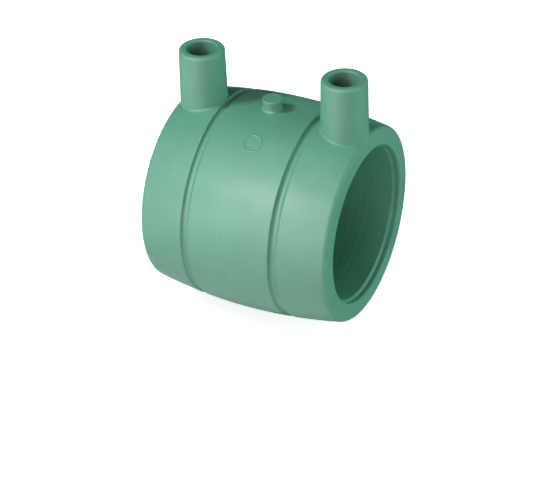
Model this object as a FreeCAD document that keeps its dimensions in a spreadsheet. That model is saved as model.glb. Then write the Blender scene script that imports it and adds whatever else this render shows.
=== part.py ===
import FreeCAD, Part
import math
import os
import Sketcher

# Electrofusion coupler for a 40 mm pipe: a barrel with a socket at each end, a resistance wire
# sealed under its bore and two shrouded terminals on top. Millimetres. The origin is the middle
# of the bore, +X runs along the bore and +Z up through the terminals.

doc = FreeCAD.newDocument("electrofusion_coupler")
sheet = doc.addObject("Spreadsheet::Sheet", "sizes")

SIZES = {
    # barrel: its wall at the ends, and how far its middle stands out beyond them
    "overall_length": 52.1,
    "end_wall": 5.5,
    "barrel_bulge": 2.55,
    "end_rounding": 1.2,
    # sockets for the pipe, with a lead-in at each mouth and a stop between them
    "pipe_diameter": 40.0,
    "socket_clearance": 0.4,
    "lead_in_step": 1.2,
    "lead_in_depth": 1.2,
    "lead_in_chamfer": 0.6,
    "mouth_rounding": 0.3,
    "stop_step": 1.3,
    "stop_width": 2.0,
    "stop_slope": 0.4,
    # two grooves round the barrel
    "groove_spacing": 24.7,
    "groove_width": 2.2,
    "groove_depth": 0.85,
    "groove_lip": 0.3,
    # shrouds that stand round the terminals, their height above the barrel's crown, and how far
    # they and the stub are rooted below its surface
    "shroud_height": 13.05,
    "shroud_diameter": 11.75,
    "shroud_draft": 1.0,
    "shroud_setback": 0.06,
    "shroud_rim": 0.8,
    "shroud_blend": 0.45,
    "root_depth": 0.6,
    "recess_diameter": 7.8,
    "recess_rim": 0.4,
    "recess_depth": 12.0,
    "recess_draft": 0.5,
    # stub where the mould was fed, and the raised ring beside it
    "stub_offset": -0.15,
    "stub_diameter": 5.3,
    "stub_foot": 4.5,
    "stub_height": 3.0,
    "stub_flare": 0.6,
    "stub_edge": 0.3,
    "mark_offset": 0.5,
    "mark_angle": 27.0,
    "mark_diameter": 4.7,
    "mark_bead": 0.6,
    "mark_height": 0.12,
    # resistance wire under the bore
    "wire_diameter": 0.6,
    "wire_cover": 0.5,
    "wire_pitch": 1.9,
    "wire_turns": 5,
    # terminal pins
    "pin_diameter": 4.0,
    "pin_tip_gap": 3.6,
    "pin_chamfer": 0.4,
    "collar_diameter": 5.8,
    "collar_thickness": 1.2,
    "collar_proud": 0.3,
    "shank_diameter": 3.0,
    "neck_diameter": 2.2,
    "neck_length": 1.2,
}
for row, (name, value) in enumerate(SIZES.items(), start=1):
    sheet.set(f"A{row}", name)
    sheet.set(f"B{row}", str(value))
    sheet.setAlias(f"B{row}", name)
doc.recompute()

# Sizes worked out from the sheet.
HALF_LENGTH = "sizes.overall_length / 2"
BORE_RADIUS = "(sizes.pipe_diameter + sizes.socket_clearance) / 2"
END_RADIUS = f"({BORE_RADIUS} + sizes.end_wall)"
MIDDLE_RADIUS = f"({END_RADIUS} + sizes.barrel_bulge)"
ARC_RADIUS = f"(({HALF_LENGTH})^2 + (sizes.barrel_bulge)^2) / (2 * sizes.barrel_bulge)"
MOUTH_RADIUS = f"({BORE_RADIUS} + sizes.lead_in_step / 2)"
STOP_RADIUS = f"({BORE_RADIUS} - sizes.stop_step)"
GROOVE_PLACE = "sizes.groove_spacing / 2"


def barrel_radius(place):
    """Radius of the barrel's outside at a place along the bore."""
    return f"({MIDDLE_RADIUS} - {ARC_RADIUS} + sqrt(({ARC_RADIUS})^2 - ({place})^2))"


SHROUD_TOP = f"({MIDDLE_RADIUS} + sizes.shroud_height)"
SHROUD_ROOT = f"({END_RADIUS} - sizes.end_rounding - sizes.root_depth)"
SHROUD_ROOT_RADIUS = (
    f"(sizes.shroud_diameter / 2 + ({SHROUD_TOP} - {SHROUD_ROOT}) * tan(sizes.shroud_draft * 1deg))"
)
TERMINAL_PLACE = f"({HALF_LENGTH} - sizes.shroud_setback - {SHROUD_ROOT_RADIUS})"
RECESS_FLOOR = f"({SHROUD_TOP} - sizes.recess_depth)"
RECESS_FLOOR_RADIUS = "(sizes.recess_diameter / 2 - sizes.recess_depth * tan(sizes.recess_draft * 1deg))"
COIL_RADIUS = f"({BORE_RADIUS} + sizes.wire_cover + sizes.wire_diameter / 2)"
COLD_ZONE = f"({TERMINAL_PLACE} - sizes.wire_turns * sizes.wire_pitch)"
STUB_TOP = f"({MIDDLE_RADIUS} + sizes.stub_height)"
STUB_ROOT = f"({MIDDLE_RADIUS} - sizes.stub_flare - sizes.root_depth)"
MARK_RADIUS = f"({barrel_radius('sizes.mark_offset')} + sizes.mark_height - sizes.mark_bead / 2)"
GROOVE_RADIUS = "((sizes.groove_width / 2)^2 + (sizes.groove_depth)^2) / (2 * sizes.groove_depth)"
GROOVE_CENTRE = f"({barrel_radius(GROOVE_PLACE)} - sizes.groove_depth + {GROOVE_RADIUS})"
PIN_TIP = f"({SHROUD_TOP} - sizes.pin_tip_gap)"
COLLAR_TOP = f"({RECESS_FLOOR} + sizes.collar_proud)"
COLLAR_BASE = f"({COLLAR_TOP} - sizes.collar_thickness)"
PIN_FOOT = COIL_RADIUS
NECK_MIDDLE = f"({COLLAR_BASE} + {PIN_FOOT}) / 2"

# How far an edge may lie from a place and still count as there, and the points tried along it.
NEAR = 0.01
POINTS_TRIED = 5

# Degrees of a full turn and of half of one.
ALL_ROUND = 360
HALF_ROUND = 180


def new_body(name):
    body = doc.addObject("PartDesign::Body", name)
    body.Label = name
    return body


def origin_plane(body, role):
    return next(item for item in body.Origin.OriginFeatures if item.Role == role)


def new_sketch(body, name, across="0"):
    """Sketch in the upright plane along the bore, its own origin moved along by across."""
    sketch = body.newObject("Sketcher::SketchObject", name)
    sketch.AttachmentSupport = (origin_plane(body, "XZ_Plane"), [""])
    sketch.MapMode = "FlatFace"
    sketch.setExpression("AttachmentOffset.Base.x", across)
    return sketch


def value_of(owner, expression):
    value = owner.evalExpression(expression)
    return float(getattr(value, "Value", value))


def hold_point(sketch, geometry, point, x, y):
    """Ties one point of a sketch to the places that two expressions give."""
    for kind, expression in (("DistanceX", x), ("DistanceY", y)):
        datum = value_of(sketch, expression)
        index = sketch.addConstraint(Sketcher.Constraint(kind, -1, 1, geometry, point, datum))
        sketch.setExpression(f"Constraints[{index}]", expression)


def add_outline(sketch, corners):
    """Closed outline of straight lines through corners given as expressions."""
    points = [FreeCAD.Vector(value_of(sketch, x), value_of(sketch, y), 0) for x, y in corners]
    lines = [Part.LineSegment(a, b) for a, b in zip(points, points[1:] + points[:1])]
    first = sketch.addGeometry(lines, False)[0]
    count = len(lines)
    for i in range(count):
        sketch.addConstraint(Sketcher.Constraint("Coincident", first + i, 2, first + (i + 1) % count, 1))
        hold_point(sketch, first + i, 1, *corners[i])


def add_circle(sketch, x, y, diameter):
    centre = FreeCAD.Vector(value_of(sketch, x), value_of(sketch, y), 0)
    radius = value_of(sketch, diameter) / 2
    circle = sketch.addGeometry(Part.Circle(centre, FreeCAD.Vector(0, 0, 1), radius), False)
    hold_point(sketch, circle, 3, x, y)
    index = sketch.addConstraint(Sketcher.Constraint("Diameter", circle, 2 * radius))
    sketch.setExpression(f"Constraints[{index}]", diameter)


def turn(body, kind, name, sketch, axis="V_Axis"):
    """Revolves a sketch once round one of its axes, to add or to cut."""
    feature = body.newObject(f"PartDesign::{kind}", name)
    feature.Profile = sketch
    feature.ReferenceAxis = (sketch, [axis])
    feature.Angle = ALL_ROUND
    sketch.Visibility = False
    doc.recompute()
    return feature


def round_edges(body, name, radius, wanted):
    """Rounds the edges of the body's latest feature that a test picks."""
    base = body.Tip
    edges = [f"Edge{i}" for i, edge in enumerate(base.Shape.Edges, start=1) if wanted(edge)]
    feature = body.newObject("PartDesign::Fillet", name)
    feature.Base = (base, edges)
    feature.setExpression("Radius", radius)
    doc.recompute()
    return feature


def is_ring(edge, radius, along=None, height=None):
    """True for a circle of a radius, at a place along the bore or at a height."""
    curve = edge.Curve
    if not isinstance(curve, Part.Circle) or abs(curve.Radius - radius) > NEAR:
        return False
    if along is not None and abs(abs(curve.Center.x) - along) > NEAR:
        return False
    return height is None or abs(curve.Center.z - height) < NEAR


def add_arc(sketch, centre, start, end):
    """Arc anticlockwise from one point to another."""
    spokes = [point - centre for point in (start, end)]
    circle = Part.Circle(centre, FreeCAD.Vector(0, 0, 1), spokes[0].Length)
    return sketch.addGeometry(Part.ArcOfCircle(circle, *[math.atan2(spoke.y, spoke.x) for spoke in spokes]), False)


def hold_radius(sketch, arc, expression):
    index = sketch.addConstraint(Sketcher.Constraint("Radius", arc, value_of(sketch, expression)))
    sketch.setExpression(f"Constraints[{index}]", expression)


def lip_points(barrel_centre, groove_centre, side):
    """Where a groove's lip touches the barrel and the groove, and the lip's own centre."""
    lip = value_of(sheet, "sizes.groove_lip")
    to_barrel = value_of(sheet, ARC_RADIUS) - lip
    to_groove = value_of(sheet, GROOVE_RADIUS) + lip
    between = groove_centre - barrel_centre
    along = (between.Length ** 2 + to_barrel ** 2 - to_groove ** 2) / (2 * between.Length)
    aside = math.sqrt(to_barrel ** 2 - along ** 2)
    outward = between.normalize()
    sideways = FreeCAD.Vector(outward.y, -outward.x, 0)
    lip_centre = barrel_centre + outward * along + sideways * (side * aside)
    on_barrel = barrel_centre + (lip_centre - barrel_centre) * ((to_barrel + lip) / to_barrel)
    on_groove = groove_centre + (lip_centre - groove_centre) * ((to_groove - lip) / to_groove)
    return on_barrel, on_groove, lip_centre


# Moulding: the barrel, turned about the bore from one outline that dips into two round-bottomed
# grooves with rounded lips. The outline is turned half round in its plane, so that the barrel's
# seam lies underneath, away from the shrouds.
moulding = new_body("moulding")
section = new_sketch(moulding, "barrel_section")
section.AttachmentOffset = FreeCAD.Placement(FreeCAD.Vector(), FreeCAD.Rotation(HALF_ROUND, 0, 0))
half_length = value_of(sheet, HALF_LENGTH)
end_radius = value_of(sheet, END_RADIUS)
middle_radius = value_of(sheet, MIDDLE_RADIUS)
corners = [
    FreeCAD.Vector(half_length, 0, 0),
    FreeCAD.Vector(half_length, end_radius, 0),
    FreeCAD.Vector(-half_length, end_radius, 0),
    FreeCAD.Vector(-half_length, 0, 0),
]
right_end = section.addGeometry(Part.LineSegment(corners[0], corners[1]), False)
left_end = section.addGeometry(Part.LineSegment(corners[2], corners[3]), False)
axis_line = section.addGeometry(Part.LineSegment(corners[3], corners[0]), False)
barrel_centre = FreeCAD.Vector(0, middle_radius - value_of(sheet, ARC_RADIUS), 0)
panels, tangents = [], []
panel_start = corners[1]
for sign in ("", "-"):
    place = f"{sign}{GROOVE_PLACE}"
    groove_centre = FreeCAD.Vector(value_of(sheet, place), value_of(sheet, GROOVE_CENTRE), 0)
    right_barrel, right_groove, right_centre = lip_points(barrel_centre, groove_centre, 1)
    left_barrel, left_groove, left_centre = lip_points(barrel_centre, groove_centre, -1)
    panel = add_arc(section, barrel_centre, panel_start, right_barrel)
    right_lip = add_arc(section, right_centre, right_barrel, right_groove)
    groove = add_arc(section, groove_centre, left_groove, right_groove)
    left_lip = add_arc(section, left_centre, left_groove, left_barrel)
    hold_point(section, groove, 3, place, GROOVE_CENTRE)
    hold_radius(section, groove, GROOVE_RADIUS)
    hold_radius(section, right_lip, "sizes.groove_lip")
    hold_radius(section, left_lip, "sizes.groove_lip")
    tangents += [(panel, 2, right_lip, 1), (right_lip, 2, groove, 2), (left_lip, 1, groove, 1)]
    panels.append((panel, left_lip))
    panel_start = left_barrel
last_panel = add_arc(section, barrel_centre, panel_start, corners[2])
following = [panels[1][0], last_panel]
tangents += [(left_lip, 2, panel, 1) for (_, left_lip), panel in zip(panels, following)]
for joint in tangents:
    section.addConstraint(Sketcher.Constraint("Tangent", *joint))
for first, second in ((panels[0][0], panels[1][0]), (panels[1][0], last_panel)):
    section.addConstraint(Sketcher.Constraint("Coincident", first, 3, second, 3))
    section.addConstraint(Sketcher.Constraint("Equal", first, second))
section.addConstraint(Sketcher.Constraint("Coincident", right_end, 2, panels[0][0], 1))
section.addConstraint(Sketcher.Constraint("Coincident", last_panel, 2, left_end, 1))
section.addConstraint(Sketcher.Constraint("Coincident", left_end, 2, axis_line, 1))
section.addConstraint(Sketcher.Constraint("Coincident", axis_line, 2, right_end, 1))
hold_point(section, right_end, 1, HALF_LENGTH, "0")
hold_point(section, right_end, 2, HALF_LENGTH, END_RADIUS)
hold_point(section, left_end, 1, f"-{HALF_LENGTH}", END_RADIUS)
hold_point(section, left_end, 2, f"-{HALF_LENGTH}", "0")
hold_radius(section, panels[0][0], ARC_RADIUS)
turn(moulding, "Revolution", "barrel", section, "H_Axis")
round_edges(moulding, "end_edges", "sizes.end_rounding", lambda edge: is_ring(edge, end_radius, half_length))

# The shrouds: a drafted post with a recess for the plug, flush with each end face.
for side, sign in (("left", "-"), ("right", "")):
    section = new_sketch(moulding, f"shroud_section_{side}", f"{sign}{TERMINAL_PLACE}")
    add_outline(section, [
        ("0", SHROUD_ROOT),
        (SHROUD_ROOT_RADIUS, SHROUD_ROOT),
        ("sizes.shroud_diameter / 2", SHROUD_TOP),
        ("sizes.recess_diameter / 2", SHROUD_TOP),
        (RECESS_FLOOR_RADIUS, RECESS_FLOOR),
        ("0", RECESS_FLOOR),
    ])
    turn(moulding, "Revolution", f"shroud_{side}", section)
shroud_top = value_of(sheet, SHROUD_TOP)
shroud_radius = value_of(sheet, "sizes.shroud_diameter / 2")
recess_radius = value_of(sheet, "sizes.recess_diameter / 2")
round_edges(
    moulding, "shroud_rims", "sizes.shroud_rim", lambda edge: is_ring(edge, shroud_radius, height=shroud_top)
)
round_edges(
    moulding, "recess_rims", "sizes.recess_rim", lambda edge: is_ring(edge, recess_radius, height=shroud_top)
)

# The shroud's foot is blended into the barrel.
terminal_place = value_of(sheet, TERMINAL_PLACE)
taper = value_of(sheet, "tan(sizes.shroud_draft * 1deg)")


def on_shroud_foot(edge):
    """True for an edge that runs round a shroud where its flank meets the barrel."""
    if isinstance(edge.Curve, Part.Line) or edge.BoundBox.ZMax > middle_radius:
        return False
    for point in edge.discretize(POINTS_TRIED):
        flank = shroud_radius + (shroud_top - point.z) * taper
        if abs(math.hypot(abs(point.x) - terminal_place, point.y) - flank) > NEAR:
            return False
    return True


round_edges(moulding, "shroud_blends", "sizes.shroud_blend", on_shroud_foot)

# The stub of the mould's feed, narrower towards its foot and flared into the barrel.
section = new_sketch(moulding, "stub_section", "sizes.stub_offset")
add_outline(section, [
    ("0", STUB_ROOT),
    ("sizes.stub_foot / 2", STUB_ROOT),
    ("sizes.stub_diameter / 2", STUB_TOP),
    ("0", STUB_TOP),
])
turn(moulding, "Revolution", "feed_stub", section)
stub_axis = value_of(sheet, "sizes.stub_offset")
stub_radius = value_of(sheet, "sizes.stub_diameter / 2")
round_edges(
    moulding, "stub_flare", "sizes.stub_flare",
    lambda edge: edge.BoundBox.ZMax < middle_radius + NEAR
    and edge.BoundBox.XMin > stub_axis - stub_radius
    and edge.BoundBox.XMax < stub_axis + stub_radius
    and edge.BoundBox.ZMin > end_radius,
)
stub_top = value_of(sheet, STUB_TOP)
round_edges(moulding, "stub_edge", "sizes.stub_edge", lambda edge: is_ring(edge, stub_radius, height=stub_top))

# The raised ring in front of the stub: a round bead sunk in the barrel, square to its surface.
ring = moulding.newObject("PartDesign::AdditiveTorus", "mark_ring")
ring.AttachmentSupport = (origin_plane(moulding, "XY_Plane"), [""])
ring.MapMode = "FlatFace"
ring.AttachmentOffset = FreeCAD.Placement(FreeCAD.Vector(), FreeCAD.Rotation(FreeCAD.Vector(1, 0, 0), 1))
ring.setExpression("AttachmentOffset.Base.x", "sizes.mark_offset")
ring.setExpression("AttachmentOffset.Base.y", f"-{MARK_RADIUS} * sin(sizes.mark_angle * 1deg)")
ring.setExpression("AttachmentOffset.Base.z", f"{MARK_RADIUS} * cos(sizes.mark_angle * 1deg)")
ring.setExpression("AttachmentOffset.Rotation.Angle", "sizes.mark_angle * 1deg")
ring.setExpression("Radius1", "sizes.mark_diameter / 2")
ring.setExpression("Radius2", "sizes.mark_bead / 2")
doc.recompute()

# The sockets: a bore from each end up to the stop, with a stepped and sloped lead-in.
section = new_sketch(moulding, "bore_section")
beyond = f"({HALF_LENGTH} + sizes.lead_in_depth)"
step_end = f"({HALF_LENGTH} - sizes.lead_in_depth)"
slope_end = f"({step_end} - sizes.lead_in_chamfer)"
stop_top = "sizes.stop_width / 2"
stop_foot = f"({stop_top} + sizes.stop_slope)"
right_half = [
    (beyond, "0"),
    (beyond, MOUTH_RADIUS),
    (step_end, MOUTH_RADIUS),
    (slope_end, BORE_RADIUS),
    (stop_foot, BORE_RADIUS),
    (stop_top, STOP_RADIUS),
]
add_outline(section, right_half + [(f"-{x}", radius) for x, radius in reversed(right_half)])
turn(moulding, "Groove", "sockets", section, "H_Axis")
mouth_radius = value_of(sheet, MOUTH_RADIUS)
round_edges(moulding, "mouth_edges", "sizes.mouth_rounding", lambda edge: is_ring(edge, mouth_radius, half_length))

# Resistance wire: half turns whose ends all run straight across the bore's top or bottom, so
# that each one carries on into the next. Close turns lie in each socket and one long turn
# crosses between them.
wire = new_body("heating_wire")


def half_turn(name, start, end, goes_down):
    """Bends the wire half round the bore, from a place at the top down or back up."""
    sketch = new_sketch(wire, f"{name}_section")
    top, bottom = COIL_RADIUS, f"-{COIL_RADIUS}"
    start_height, end_height = (top, bottom) if goes_down else (bottom, top)
    first = FreeCAD.Vector(value_of(sketch, start), value_of(sketch, start_height), 0)
    last = FreeCAD.Vector(value_of(sketch, end), value_of(sketch, end_height), 0)
    across = sketch.addGeometry(Part.LineSegment(first, last), True)
    hold_point(sketch, across, 1, start, start_height)
    hold_point(sketch, across, 2, end, end_height)
    middle = (first + last) / 2
    squarely = FreeCAD.Vector(first.y - last.y, last.x - first.x, 0) / 2
    axis = sketch.addGeometry(Part.LineSegment(middle, middle + squarely), True)
    sketch.addConstraint(Sketcher.Constraint("Symmetric", across, 1, across, 2, axis, 1))
    sketch.addConstraint(Sketcher.Constraint("Perpendicular", axis, across))
    index = sketch.addConstraint(Sketcher.Constraint("Distance", axis, squarely.Length))
    sketch.setExpression(f"Constraints[{index}]", COIL_RADIUS)
    add_circle(sketch, start, start_height, "sizes.wire_diameter")
    feature = wire.newObject("PartDesign::Revolution", name)
    feature.Profile = sketch
    feature.ReferenceAxis = (sketch, ["Axis1"])
    feature.Angle = HALF_ROUND
    feature.Reversed = not goes_down
    sketch.Visibility = False
    doc.recompute()
    return feature


def one_turn(name, start, pitch):
    half_way = f"({start} + {pitch} / 2)"
    return [
        half_turn(f"{name}_front", start, half_way, True),
        half_turn(f"{name}_back", half_way, f"({start} + {pitch})", False),
    ]


def repeat_turn(name, features, count, pitch):
    """Copies a turn along the bore, a pitch apart."""
    pattern = wire.newObject("PartDesign::LinearPattern", name)
    pattern.Originals = features
    pattern.Direction = (origin_plane(wire, "X_Axis"), [""])
    pattern.Mode = "Spacing"
    pattern.setExpression("Offset", pitch)
    pattern.setExpression("Occurrences", count)
    wire.Tip = pattern
    doc.recompute()


repeat_turn(
    "left_turns", one_turn("left_turn", f"-{TERMINAL_PLACE}", "sizes.wire_pitch"),
    "sizes.wire_turns", "sizes.wire_pitch",
)
one_turn("crossing_turn", f"-{COLD_ZONE}", f"(2 * {COLD_ZONE})")
repeat_turn(
    "right_turns", one_turn("right_turn", COLD_ZONE, "sizes.wire_pitch"),
    "sizes.wire_turns", "sizes.wire_pitch",
)

# Terminal pins: turned, with a collar at the recess floor, a waisted shank that the moulding
# grips, and a foot that the wire's end is welded into.
blanks = []
for side, sign in (("left", "-"), ("right", "")):
    blank = new_body(f"pin_blank_{side}")
    section = new_sketch(blank, f"pin_section_{side}", f"{sign}{TERMINAL_PLACE}")
    add_outline(section, [
        ("0", PIN_FOOT),
        ("sizes.shank_diameter / 2", PIN_FOOT),
        ("sizes.shank_diameter / 2", f"{NECK_MIDDLE} - sizes.neck_length / 2"),
        ("sizes.neck_diameter / 2", f"{NECK_MIDDLE} - sizes.neck_length / 2"),
        ("sizes.neck_diameter / 2", f"{NECK_MIDDLE} + sizes.neck_length / 2"),
        ("sizes.shank_diameter / 2", f"{NECK_MIDDLE} + sizes.neck_length / 2"),
        ("sizes.shank_diameter / 2", COLLAR_BASE),
        ("sizes.collar_diameter / 2", COLLAR_BASE),
        ("sizes.collar_diameter / 2", COLLAR_TOP),
        ("sizes.pin_diameter / 2", COLLAR_TOP),
        ("sizes.pin_diameter / 2", f"{PIN_TIP} - sizes.pin_chamfer"),
        ("sizes.pin_diameter / 2 - sizes.pin_chamfer", PIN_TIP),
        ("0", PIN_TIP),
    ])
    turn(blank, "Revolution", f"pin_turning_{side}", section)
    blanks.append(blank)


def cut_out(name, base, tools):
    """Leaves in one solid the room that others take."""
    tool = tools[0]
    if len(tools) > 1:
        tool = doc.addObject("Part::MultiFuse", f"{name}_inserts")
        tool.Shapes = tools
    cut = doc.addObject("Part::Cut", name)
    cut.Label = name
    cut.Base = base
    cut.Tool = tool
    doc.recompute()
    return cut


# Each pin is notched for the wire's end, and the moulding is formed round the wire and the pins.
pins = [cut_out(f"terminal_pin_{side}", blank, [wire]) for side, blank in zip(("left", "right"), blanks)]
coupler_body = cut_out("coupler_body", moulding, [wire, *pins])
pieces = [coupler_body, wire, *pins]

doc.recompute()
for item in doc.Objects:
    if "Invalid" in item.State or "Error" in item.State:
        raise RuntimeError(f"{item.Name} failed: {item.State}")
for piece in pieces:
    shape = piece.Shape
    if shape.isNull() or not shape.isValid() or len(shape.Solids) != 1:
        raise RuntimeError(f"{piece.Label} is not one valid solid")
    print(piece.Label, round(shape.Volume, 2), len(shape.Faces))

os.makedirs("parts", exist_ok=True)
for piece in pieces:
    piece.Shape.exportStep(f"parts/{piece.Label}.step")
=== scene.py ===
# An electrofusion coupler for a 40 mm plastic pipe, dressed for its photograph. Metres, in the
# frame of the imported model: the origin is the middle of the bore, +X runs along the bore and +Z
# up through the terminals.
import math

import bpy
from mathutils import Matrix, Vector

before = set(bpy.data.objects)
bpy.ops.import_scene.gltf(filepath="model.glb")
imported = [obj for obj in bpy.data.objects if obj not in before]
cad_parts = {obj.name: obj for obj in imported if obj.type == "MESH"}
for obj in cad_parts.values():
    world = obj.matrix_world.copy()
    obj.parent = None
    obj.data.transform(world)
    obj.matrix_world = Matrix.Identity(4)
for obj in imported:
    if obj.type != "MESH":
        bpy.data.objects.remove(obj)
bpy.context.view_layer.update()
MM = 0.001

# Moulding: barrel, shrouds, feed stub and ring mark are one shot of green polypropylene, formed
# in a steel mould round the wire and the pins. Its skin is satin with a fine grain, and the wire
# shows through the bore as faint rings.


class Value:
    """A shader socket that adds a Math node for each operator used on it."""

    def __init__(self, finish, socket):
        self.finish = finish
        self.socket = socket

    def math(self, operation, *others):
        """Adds a Math node that takes this value first."""
        sockets = dict(enumerate((self, *others)))
        return self.finish.node("ShaderNodeMath", {"operation": operation}, sockets)

    def __add__(self, other):
        return self.math("ADD", other)

    def __mul__(self, other):
        return self.math("MULTIPLY", other)

    def __rsub__(self, other):
        return self.finish.node("ShaderNodeMath", {"operation": "SUBTRACT"}, {0: other, 1: self})

    __radd__ = __add__
    __rmul__ = __mul__


class Finish:
    """A material of one Principled shader, built up on the piece's own Object coordinates."""

    def __init__(self, name, constants):
        self.material = bpy.data.materials.new(name)
        self.material.use_nodes = True
        self.tree = self.material.node_tree
        self.shader = self.tree.nodes["Principled BSDF"]
        for socket, value in constants.items():
            self.shader.inputs[socket].default_value = value
        self.place = self.node("ShaderNodeTexCoord", {}, {}, "Object")

    def node(self, kind, settings, sockets, output=0):
        """Adds a node, sets it up, feeds its sockets and gives one of its outputs."""
        node = self.tree.nodes.new(kind)
        for name, value in settings.items():
            setattr(node, name, value)
        for name, value in sockets.items():
            if isinstance(value, Value):
                self.tree.links.new(value.socket, node.inputs[name])
            else:
                node.inputs[name].default_value = value
        return Value(self, node.outputs[output])

    def feed(self, socket, value):
        """Links a value to one of the shader's sockets."""
        self.tree.links.new(value.socket, self.shader.inputs[socket])

    def noise(self, size, detail=2.0):
        """Even noise from 0 to 1 whose lumps are about a size across."""
        sockets = {"Vector": self.place, "Scale": 1 / size, "Detail": detail}
        return self.node("ShaderNodeTexNoise", {}, sockets)

    def rise(self, value, low, high):
        """Goes softly from 0 to 1 as a value goes from low to high."""
        sockets = {"Value": value, "From Min": low, "From Max": high}
        return self.node("ShaderNodeMapRange", {"interpolation_type": "SMOOTHSTEP"}, sockets)

    def blend(self, factor, first, second):
        """Goes from the first colour to the second as a factor goes from 0 to 1."""
        sockets = {"Factor": factor, 6: first, 7: second}
        return self.node("ShaderNodeMix", {"data_type": "RGBA"}, sockets, 2)

    def distance(self, place):
        """Length of a vector."""
        return self.node("ShaderNodeVectorMath", {"operation": "LENGTH"}, {0: place}, "Value")

    def bump(self, height):
        """Raises the surface by a height in metres."""
        self.feed("Normal", self.node("ShaderNodeBump", {}, {"Height": height, "Distance": 1.0}))

    def dress(self, *pieces):
        """Gives pieces this finish alone."""
        for piece in pieces:
            piece.data.materials.clear()
            piece.data.materials.append(self.material)


GREEN = (0.051, 0.270, 0.160, 1)
DEEP_GREEN = (0.046, 0.249, 0.146, 1)
SPECK = (0.030, 0.070, 0.055, 1)
CLOUD_SIZE, SMUDGE_SIZE, GRAIN_SIZE, SPECK_SIZE = 14 * MM, 5 * MM, 0.35 * MM, 0.7 * MM
CLOUD_SHARE, SMUDGE_SHARE, GRAIN_SHARE = 0.4, 0.3, 0.3
MOTTLE_LOW, MOTTLE_HIGH = 0.40, 0.60
SPECK_LOW, SPECK_HIGH, SPECK_STRENGTH = 0.84, 0.90, 0.5
SATIN, SMUDGE_DULLING, GRAIN_DULLING = 0.66, 0.06, 0.04
GRAIN_HEIGHT, TRACE_HEIGHT, FLOW_HEIGHT = 0.016 * MM, 0.016 * MM, 0.02 * MM
FLOW_SIZE = 8 * MM
BORE_RADIUS, BORE_SKIN = 20.2 * MM, 0.1 * MM
WIRE_PITCH = 1.9 * MM
WIRE_START, WIRE_END = 9.3 * MM, 20.4 * MM

plastic = Finish(
    "green_polypropylene",
    {"IOR": 1.65, "Specular IOR Level": 1.0, "Coat Weight": 0.4, "Coat Roughness": 0.35},
)
clouds = plastic.noise(CLOUD_SIZE)
smudges = plastic.noise(SMUDGE_SIZE, detail=4.0)
grain = plastic.noise(GRAIN_SIZE, detail=3.0)
mottling = clouds * CLOUD_SHARE + smudges * SMUDGE_SHARE + grain * GRAIN_SHARE
colour = plastic.blend(plastic.rise(mottling, MOTTLE_LOW, MOTTLE_HIGH), GREEN, DEEP_GREEN)
specks = plastic.rise(plastic.noise(SPECK_SIZE, detail=0.0), SPECK_LOW, SPECK_HIGH)
plastic.feed("Base Color", plastic.blend(specks * SPECK_STRENGTH, colour, SPECK))
plastic.feed("Roughness", SATIN + smudges * SMUDGE_DULLING + grain * GRAIN_DULLING)

along = plastic.node("ShaderNodeSeparateXYZ", {}, {"Vector": plastic.place}, "X").math("ABSOLUTE")
across = plastic.node(
    "ShaderNodeVectorMath", {"operation": "MULTIPLY"}, {0: plastic.place, 1: (0, 1, 1)}
)
bore_edge = BORE_RADIUS + BORE_SKIN
in_bore = 1 - plastic.rise(plastic.distance(across), bore_edge, bore_edge + BORE_SKIN)
past_first_turn = plastic.rise(along, WIRE_START, WIRE_START + WIRE_PITCH)
past_last_turn = plastic.rise(along, WIRE_END - WIRE_PITCH / 2, WIRE_END)
turns = (along * (2 * math.pi / WIRE_PITCH)).math("COSINE")
traces = turns * past_first_turn * (1 - past_last_turn) * in_bore
flow = plastic.noise(FLOW_SIZE, detail=1.0)
plastic.bump(traces * TRACE_HEIGHT + flow * FLOW_HEIGHT + grain * GRAIN_HEIGHT)
plastic.dress(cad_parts["coupler_body"])

# Heating wire: drawn copper-nickel, wound before moulding and wholly inside the wall, so its
# finish is seen only where the moulding is cut or hidden.
WIRE_METAL = (0.66, 0.42, 0.27, 1)
OXIDE = (0.33, 0.21, 0.15, 1)
OXIDE_SIZE, OXIDE_LOW, OXIDE_HIGH = 2.5 * MM, 0.4, 0.7
DRAWN, OXIDE_DULLING = 0.28, 0.2

resistance = Finish("drawn_resistance_wire", {"Metallic": 1.0})
tarnish = resistance.noise(OXIDE_SIZE, detail=3.0)
oxidised = resistance.rise(tarnish, OXIDE_LOW, OXIDE_HIGH)
resistance.feed("Base Color", resistance.blend(oxidised, WIRE_METAL, OXIDE))
resistance.feed("Roughness", DRAWN + tarnish * OXIDE_DULLING)
resistance.dress(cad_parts["heating_wire"])

# Terminal pins: turned from brass bar, held by the moulding at the foot of each shroud. The
# tool leaves fine rings round them.
BRASS = (0.80, 0.58, 0.27, 1)
DULL_BRASS = (0.52, 0.37, 0.18, 1)
HANDLING_SIZE, HANDLING_LOW, HANDLING_HIGH = 1.8 * MM, 0.45, 0.8
TURNED, HANDLING_DULLING = 0.22, 0.16
TOOL_FEED, RING_HEIGHT = 0.12 * MM, 0.001 * MM

brass = Finish("turned_brass", {"Metallic": 1.0})
handling = brass.noise(HANDLING_SIZE, detail=3.0)
dulled = brass.rise(handling, HANDLING_LOW, HANDLING_HIGH)
brass.feed("Base Color", brass.blend(dulled, BRASS, DULL_BRASS))
brass.feed("Roughness", TURNED + handling * HANDLING_DULLING)
height = brass.node("ShaderNodeSeparateXYZ", {}, {"Vector": brass.place}, "Z")
brass.bump((height * (2 * math.pi / TOOL_FEED)).math("SINE") * RING_HEIGHT)
brass.dress(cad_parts["terminal_pin_left"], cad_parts["terminal_pin_right"])

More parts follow.
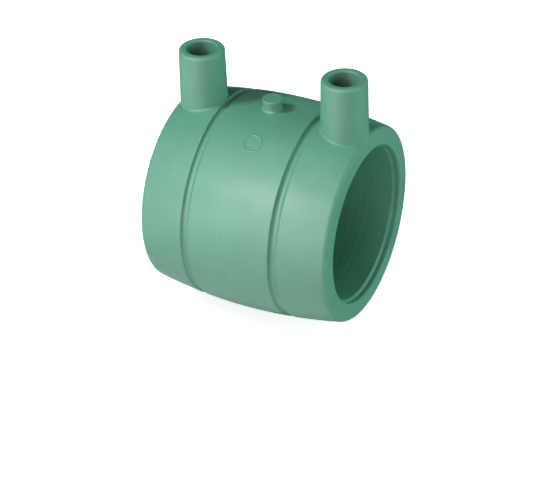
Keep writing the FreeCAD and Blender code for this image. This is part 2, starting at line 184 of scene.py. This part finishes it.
# Floor: a wide white sheet under the fitting. It glows where the camera or the gloss sees it,
# more so far away, so that it looks evenly white and still keeps the shadow.
FLOOR_HEIGHT = -28.25 * MM
FLOOR_SIZE = 12.0
SHEET_WHITE = (0.93, 0.93, 0.93, 1)
SHEET_SHADE = (0.91, 0.91, 0.91, 1)
SHADE_SIZE = 60 * MM
NEAR_GLOW = (0.75, 0.75, 0.75, 1)
FAR_GLOW = (0.95, 0.95, 0.95, 1)
NO_GLOW = (0, 0, 0, 1)
NEAR, FAR = 0.2, 1.2
MATT = {"Roughness": 0.9, "Specular IOR Level": 0.0, "Emission Strength": 1.0}

bpy.ops.object.select_all(action="DESELECT")
bpy.ops.mesh.primitive_plane_add(size=FLOOR_SIZE, location=(0, 0, FLOOR_HEIGHT))
floor = bpy.context.object
floor.name = "floor"
bpy.ops.object.transform_apply(location=True)

sheet = Finish("white_sheet", MATT)
sheet.feed("Base Color", sheet.blend(sheet.noise(SHADE_SIZE), SHEET_WHITE, SHEET_SHADE))
rays = ("Is Camera Ray", "Is Glossy Ray", "Is Transmission Ray")
seen = sum(sheet.node("ShaderNodeLightPath", {}, {}, ray) for ray in rays)
glow = sheet.blend(sheet.rise(sheet.distance(sheet.place), NEAR, FAR), NEAR_GLOW, FAR_GLOW)
sheet.feed("Emission Color", sheet.blend(seen.math("MINIMUM", 1.0), NO_GLOW, glow))
sheet.dress(floor)

# Cards: a grey card lies under the fitting's front and black ones at its right and behind it,
# seen only in the gloss. They are painted reflection: a grey one in the low side and dark ones
# in the end face and the top, so that these keep their full colour.
CARD_LIFT = 0.5 * MM
# Grey and black of the painted reflections.
REFLECTED_GREY = (0.65, 0.65, 0.65, 1)
REFLECTED_BLACK = (0, 0, 0, 1)


def lay_reflection_card(name, colour, middle, size, lifts):
    """Lays a square card of painted reflection a few lifts above the floor, where only the gloss
    sees it.
    """
    place = (*middle, FLOOR_HEIGHT + lifts * CARD_LIFT)
    bpy.ops.object.select_all(action="DESELECT")
    bpy.ops.mesh.primitive_plane_add(size=size, location=place)
    card = bpy.context.object
    card.name = name
    bpy.ops.object.transform_apply(location=True)
    Finish(name, {"Base Color": colour, "Roughness": 1.0, "Specular IOR Level": 0.0}).dress(card)
    card.visible_camera = False
    card.visible_diffuse = False
    card.visible_shadow = False
    card.visible_transmission = False


# Each card paints a reflection and nothing else: grey under the front, dark at the right and
# behind.
lay_reflection_card("grey_reflection_card", REFLECTED_GREY, middle=(0, -0.42), size=1.0, lifts=1)
lay_reflection_card("right_dark_reflection_card", REFLECTED_BLACK, middle=(0.63, 0.20), size=1.2, lifts=2)
lay_reflection_card("back_dark_reflection_card", REFLECTED_BLACK, middle=(0, 1.33), size=2.6, lifts=3)

# Light: a compact lamp at the left throws the shadows, and large ones fill from the low front,
# the right and above. These stay out of the gloss, which sees only the three sheen lamps at the
# front left.
ROOM_LIGHT = 0.03
LAMP_DISTANCE = 0.7
LARGE, SMALL, COMPACT = 0.65, 0.30, 0.18


def look_from(azimuth, elevation):
    """Direction of a place round the fitting, its azimuth counted from the front to the right."""
    a, e = math.radians(azimuth), math.radians(elevation)
    return Vector((math.sin(a) * math.cos(e), -math.cos(a) * math.cos(e), math.sin(e)))


def soft_box(name, azimuth, elevation, size, brightness, only_gloss=False):
    """Hangs a round lamp that faces the fitting, its brightness in multiples of plain white."""
    data = bpy.data.lights.new(name, "AREA")
    data.shape = "DISK"
    data.size = size
    data.energy = brightness * (math.pi * size / 2) ** 2
    lamp = bpy.data.objects.new(name, data)
    bpy.context.scene.collection.objects.link(lamp)
    direction = look_from(azimuth, elevation)
    lamp.location = direction * LAMP_DISTANCE
    lamp.rotation_euler = direction.to_track_quat("Z", "Y").to_euler()
    lamp.visible_diffuse = not only_gloss
    lamp.visible_glossy = only_gloss


soft_box("left", -60, 46, COMPACT, brightness=56.0)
soft_box("low_front", -5, 0, LARGE, brightness=1.4)
soft_box("key_sheen", -18, 38, SMALL, brightness=14.0, only_gloss=True)
soft_box("low_sheen", -12, 0, LARGE, brightness=3.6, only_gloss=True)
soft_box("high_sheen", -30, 70, LARGE, brightness=1.4, only_gloss=True)
soft_box("top", 0, 80, LARGE, brightness=0.5)
soft_box("front_fill", 27, 5, LARGE, brightness=2.4)
soft_box("right_fill", 112, 6, LARGE, brightness=6.0)

world = bpy.data.worlds.new("white_room")
world.use_nodes = True
world.node_tree.nodes["Background"].inputs["Strength"].default_value = ROOM_LIGHT
bpy.context.scene.world = world

# Camera: a long lens half a metre away, above the right front and turned a little about its own
# axis. Its numbers were fitted to the outlines in the photograph.
AZIMUTH, ELEVATION, ROLL, DISTANCE = 27.176, 34.217, -1.713, 515.75 * MM
AIM = Vector((-0.108, 0, -13.557)) * MM
FOCAL_PIXELS, IMAGE_WIDTH, SENSOR_WIDTH = 1947.9, 554, 36

back = look_from(AZIMUTH, ELEVATION)
right = look_from(AZIMUTH + 90, 0)
up = back.cross(right)
roll = math.radians(ROLL)
turned_right = right * math.cos(roll) + up * math.sin(roll)
turned_up = up * math.cos(roll) - right * math.sin(roll)
data = bpy.data.cameras.new("camera")
data.sensor_width = SENSOR_WIDTH
data.lens = SENSOR_WIDTH * FOCAL_PIXELS / IMAGE_WIDTH
camera = bpy.data.objects.new("camera", data)
bpy.context.scene.collection.objects.link(camera)
facing = Matrix((turned_right, turned_up, back)).transposed().to_4x4()
camera.matrix_world = Matrix.Translation(AIM + back * DISTANCE) @ facing
bpy.context.scene.camera = camera
bpy.context.scene.view_settings.view_transform = "Standard"
